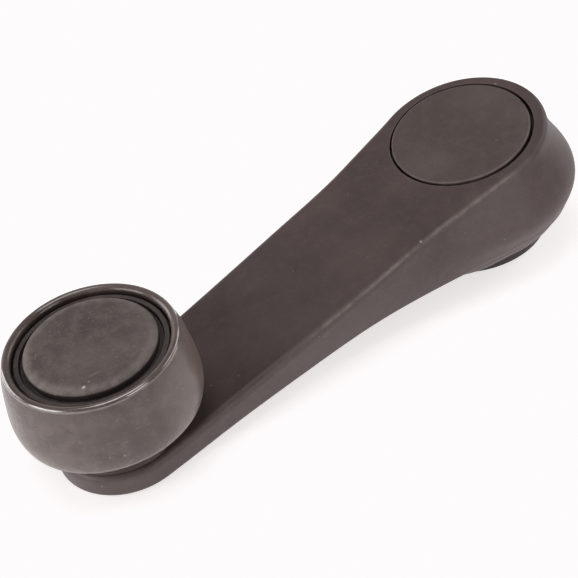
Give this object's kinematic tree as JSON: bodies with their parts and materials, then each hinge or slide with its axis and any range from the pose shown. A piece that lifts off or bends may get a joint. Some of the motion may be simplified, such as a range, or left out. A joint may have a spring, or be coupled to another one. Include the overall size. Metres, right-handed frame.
{
  "type": "window winder handle",
  "caption": "Hand crank for a vehicle window: sloping hollow arm with a toothed hub socket, a snap-in hub cap, a spacer collar and a free-spinning barrel knob.",
  "frame": {"origin": "on the hub axis, at the mouth of the shaft socket, level with the collar face that lies against the door trim", "axes": "+Z along the hub axis, away from the door; +X from the hub to the knob; +Y completes a right-handed frame"},
  "size_m": [0.1449, 0.0508, 0.0369],
  "materials": {
    "arm_plastic": "fine-grained satin moulding",
    "cap_plastic": "fine-grained satin moulding",
    "knob_plastic": "satin moulding",
    "knob_cap_plastic": "dusty matt moulding",
    "collar_plastic": "dark matt moulding",
    "cover_plastic": "matt moulding",
    "nylon": "natural nylon",
    "core_steel": "zinc-plated pressed steel",
    "bush_metal": "sintered and sized",
    "screw_steel": "yellow-zinc plated",
    "spring_steel": "blued spring steel",
    "felt": "pressed felt"
  },
  "bodies": {
    "spacer": {"spacer_ring": "collar_plastic", "felt_ring": "felt", "slip_washer": "nylon"},
    "crank": {"arm_shell": "arm_plastic", "arm_core": "core_steel", "back_cover": "cover_plastic", "cover_screws": "screw_steel", "shaft_bush": "bush_metal", "hub_screw": "screw_steel", "hub_spring_washer": "spring_steel", "hub_flat_washer": "screw_steel", "hub_cap": "cap_plastic", "bush_circlip": "spring_steel", "knob_axle": "core_steel", "thrust_washer": "nylon", "dished_washer": "spring_steel", "axle_washer": "core_steel", "axle_clip": "spring_steel"},
    "knob": {"knob_shell": "knob_plastic", "knob_cap": "knob_cap_plastic", "bush_lower": "nylon", "bush_upper": "nylon"}
  },
  "joints": [
    {"name": "crank_turn", "type": "hinge", "parent": "spacer", "child": "crank", "pos_m": [0, 0, 0], "axis": [0, 0, 1], "continuous": true},
    {"name": "knob_spin", "type": "hinge", "parent": "crank", "child": "knob", "pos_m": [0.1, 0, 0], "axis": [0, 0, 1], "continuous": true}
  ]
}
